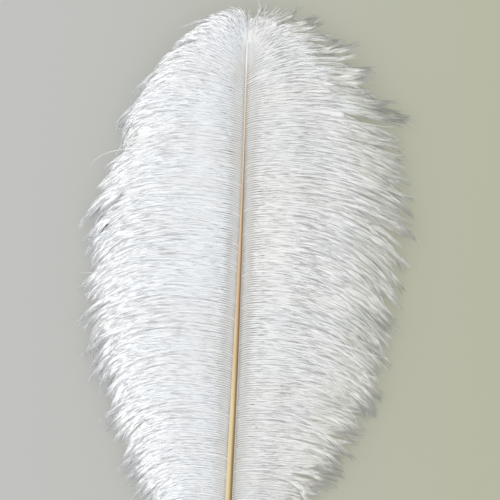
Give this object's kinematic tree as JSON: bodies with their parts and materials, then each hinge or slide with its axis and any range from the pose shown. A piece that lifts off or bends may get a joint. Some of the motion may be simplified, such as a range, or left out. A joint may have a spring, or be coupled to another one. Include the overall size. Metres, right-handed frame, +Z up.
{
  "type": "ostrich feather",
  "caption": "White ostrich plume lying face up: a slender tapering shaft with a bare quill end and two wide soft vanes whose barbs hang together in drooping locks.",
  "frame": {"origin": "on the surface the feather lies on, under the middle of its bounding box", "axes": "+Y along the shaft from the quill's end to the head, +Z up from the surface, +X to the right seen from above"},
  "size_m": [0.1964, 0.403, 0.036],
  "materials": {
    "plume": "soft matt white barbs with a faint silky sheen",
    "shaft": "semi-gloss horn, amber with a brown streak and pale cream sides"
  },
  "bodies": {
    "root": {"feather": "plume"}
  },
  "joints": []
}
